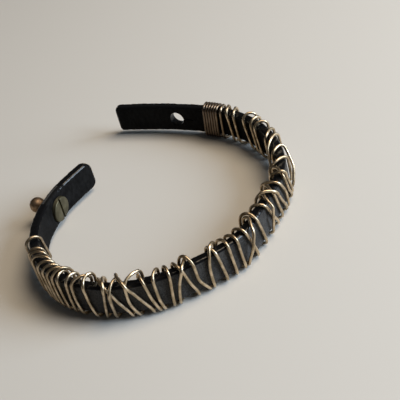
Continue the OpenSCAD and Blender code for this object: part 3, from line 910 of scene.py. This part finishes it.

# %% [markdown]
# ## The leather's finish
#
# The leather is dyed black through. Outside it has a fine pebbled grain that wear has greyed in patches.
# Toward the wrist is the flesh side, fibrous, a little darker and rougher, and its colour is darkened
# further as painted shade for the inner faces, which lie in shade. On the edges lies thick paint, smooth
# and a little glossy. One material holds all three: each gets its colour, roughness and bump from noises
# of its own scale, and the numbers kept at the points blend them. A slow noise is added to the edge's
# number before it is ramped, so that the limit of the paint wanders as a hand-painted one does.

# %% Black leather with painted edges
GRAIN = (0.016, 0.0155, 0.015), (0.074, 0.072, 0.070)  # dark, and greyed by wear
# Flesh side: its own dark tone, made darker still as painted shade for the inner faces, which lie in
# shade.
FLESH_AND_SHADE = (0.002, 0.002, 0.0022), (0.010, 0.010, 0.0102)
PAINT = (0.004, 0.004, 0.0045)
MOTTLE = 0.32, 0.68  # the part of a noise that goes from dark to light

def leather():
    f = Finish("black leather", specular_ior_level=0.06, coat_roughness=0.14)
    wander, lumps = noise(f, 0.9, detail=3.0), noise(f, 0.75)
    patch, fine = noise(f, 0.22, detail=4.0, rough=0.6), noise(f, 2.6, detail=3.0, rough=0.65)
    fibres, pores = noise(f, 1.1, detail=4.0, rough=0.7, stretch=(1, 1, 0.45)), pebbles(f, 2.3)
    edge = (kept(f, "edge") + (wander - 0.5) * 0.5).ramp(0.32, 0.62)
    face, flesh = 1 - edge, kept(f, "flesh").ramp(0.4, 0.6)
    outer = (patch * 0.4 + fine * 0.6).ramp(*MOTTLE).blend(*GRAIN)
    # The flesh side's colour carries painted shade as well as its own tone.
    inner = (patch * 0.4 + fibres * 0.6).ramp(*MOTTLE).blend(*FLESH_AND_SHADE)
    face_rough, edge_rough = fine * 0.2 + flesh * 0.2 + 0.38, wander * 0.2 + 0.2
    f.feed(base_color=edge.blend(flesh.blend(outer, inner), PAINT),
           roughness=(face * face_rough + edge * edge_rough).clamp(),
           coat_weight=edge * 0.45)
    grain = (1 - flesh) * (pores * 0.6 + fine * 0.5) + flesh * (fibres * 0.5 + fine * 0.3)
    bump(f, face * grain * 0.6 + edge * lumps * 0.5, depth_mm=0.22, strength=0.9)
    return f.material

black_leather = leather()
print("leather:", len(black_leather.node_tree.nodes), "nodes")

# %% [markdown]
# ## The brass
#
# The brass has aged: brown in the patches that nothing rubs, warm and brighter where it is handled. A
# single brass colour would look new, and three separate materials would repeat themselves. So one function
# makes all three: a slow noise chooses between a dull and a bright colour, and makes the bright patches a
# little smoother. Only the wire reads its kept number of painted shade, which takes it down to a dark
# brown where shade falls. Only the wire has a thin lacquer, a coat in the shader that gives the narrow
# cool glints. The screw's colours are darker still, also as painted shade.

# %% Antique brass
WORN = 0.36, 0.66  # the part of the noise that goes from dull to bright

def brass(name, dull, bright, rough, per_mm, shade_colour=None, lacquer=0.0):
    f = Finish(name, metallic=1.0, coat_weight=lacquer, coat_roughness=0.2)
    wear = noise(f, per_mm).ramp(*WORN)
    colour = wear.blend(dull, bright)
    # Painted shade: where the kept number is low, the colour goes down to this dark brown.
    if shade_colour:
        colour = kept(f, "unshaded").blend(shade_colour, colour)
    f.feed(base_color=colour, roughness=(rough + 0.05 - 0.1 * wear).clamp())
    bump(f, noise(f, 1.0), depth_mm=0.02, strength=0.2)
    return f.material

# The wire's darkest colour is painted shade, for the first turns and the coil.
wire_brass = brass("wire brass", (0.38, 0.29, 0.18), (0.66, 0.53, 0.365), rough=0.36, per_mm=0.5,
                   shade_colour=(0.10, 0.07, 0.05), lacquer=0.4)
stud_brass = brass("stud brass", (0.17, 0.115, 0.075), (0.36, 0.255, 0.165), rough=0.50, per_mm=0.35)
# The screw's brass is its own dull olive, made darker still as painted shade for a head that lies in
# shade.
screw_brass_and_shade = brass("screw brass with painted shade", (0.10, 0.092, 0.060), (0.17, 0.158, 0.105), rough=0.55, per_mm=0.3)
print("brass:", [m.name for m in (wire_brass, stud_brass, screw_brass_and_shade)])

# %% [markdown]
# Each piece now gets its finish. The imported node it stands in for is hidden, and the piece rides on the
# bracelet's one body.

# %% Dress the pieces
def dress(piece, material, node):
    piece.data.materials.clear()
    piece.data.materials.append(material)
    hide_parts(node)
    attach(piece, "root")

dress(strap_piece, black_leather, "leather_strap")
dress(wire_piece, wire_brass, "wire_wrap")
dress(stud_piece, stud_brass, "ball_stud")
dress(screw_piece, screw_brass_and_shade, "stud_screw")
print("dressed:", [piece.name for piece in (strap_piece, wire_piece, stud_piece, screw_piece)])

# %% [markdown]
# ## Floor and light
#
# The bracelet stands on a plain pale floor, so wide that its edge lies far behind in every
# view. A curved backdrop would hide that edge, but it would also throw light back.

# %% A plain pale floor
FLOOR_HALF = 3000
FLOOR_COLOUR = (0.60, 0.585, 0.55, 1)
corners = [(x * FLOOR_HALF, y * FLOOR_HALF, 0) for x, y in ((-1, -1), (1, -1), (1, 1), (-1, 1))]
floor = to_mesh("floor", corners, [(0, 1, 2, 3)])
floor.data.materials.append(Finish("floor paper", base_color=FLOOR_COLOUR, roughness=0.75).material)
print("floor", 2 * FLOOR_HALF * MM, "m wide")

# %% [markdown]
# Black leather shows its shape only by what it mirrors, so the light matters as much as the
# finish. A picture of a whole room as the surround would make it grey. Two soft disks do
# better: a large cool one low on the right, like a window, which draws the long shadows to
# the left and the glints along the wire, and a smaller warm one high above it. The room
# adds a faint fill. The plain *Standard* view keeps the blacks deep, which the softer
# default view would lift.

# %% The lights
AIM = Vector((0, 0, 0.005))  # metres

def soft_light(name, place_m, size_m, watts, colour):
    """A round soft light that faces the bracelet."""
    data = bpy.data.lights.new(name, "AREA")
    data.shape, data.size = "DISK", size_m
    data.energy, data.color = watts, colour
    light = bpy.data.objects.new(name, data)
    bpy.context.scene.collection.objects.link(light)
    light.location = place_m
    light.rotation_euler = (AIM - Vector(place_m)).to_track_quat("-Z", "Y").to_euler()
    return light

soft_light("window", (0.78, -0.24, 0.38), size_m=0.60, watts=11.6, colour=(0.71, 0.845, 1.0))
soft_light("lamp", (0.42, 0.02, 0.80), size_m=0.56, watts=5.6, colour=(1.0, 0.83, 0.63))
print("lights:", [light.name for light in bpy.data.lights])

# %% The room and the view
ROOM_COLOUR, ROOM_STRENGTH = (0.55, 0.56, 0.58, 1), 0.07
world = bpy.data.worlds.new("room")
world.use_nodes = True
fill = world.node_tree.nodes["Background"].inputs
fill["Color"].default_value = ROOM_COLOUR
fill["Strength"].default_value = ROOM_STRENGTH
bpy.context.scene.world = world
bpy.context.scene.view_settings.view_transform = "Standard"
print("view:", bpy.context.scene.view_settings.view_transform)

# %% [markdown]
# ## Camera
#
# The camera is a quarter of a metre away and looks down at 36 degrees. Blender takes a
# lens in millimetres, but a camera solved from a picture has its focal length in pixels, so
# that is kept here. It is rolled by 16 degrees, because the bracelet stands flat here and
# leans in the picture.

# %% Place the camera
LOOK_AT = (-CENTRE[0], -CENTRE[1], MID_Z - STRAP_W / 2)  # chain's origin, at the lower edge
DISTANCE, LOOKS_DOWN, ROLL = 251.5, 36.0, -16.0
FOCAL_PX, PICTURE_PX, SENSOR_MM = 850, 400, 36

def camera():
    data = bpy.data.cameras.new("camera")
    data.sensor_width, data.lens = SENSOR_MM, SENSOR_MM * FOCAL_PX / PICTURE_PX
    data.clip_start, data.clip_end = 0.01, 20
    cam = bpy.data.objects.new("camera", data)
    bpy.context.scene.collection.objects.link(cam)
    down, roll = math.radians(LOOKS_DOWN), math.radians(ROLL)
    forward, side = Vector((0, math.cos(down), -math.sin(down))), Vector((1, 0, 0))
    lift = side.cross(forward)
    right = math.cos(roll) * side + math.sin(roll) * lift
    up = -math.sin(roll) * side + math.cos(roll) * lift
    cam.matrix_world = Matrix((right, up, -forward)).transposed().to_4x4()
    cam.location = (Vector(LOOK_AT) - forward * DISTANCE) * MM
    return cam

bpy.context.scene.camera = camera()
print("camera height", round(bpy.context.scene.camera.location.z, 3), "m")
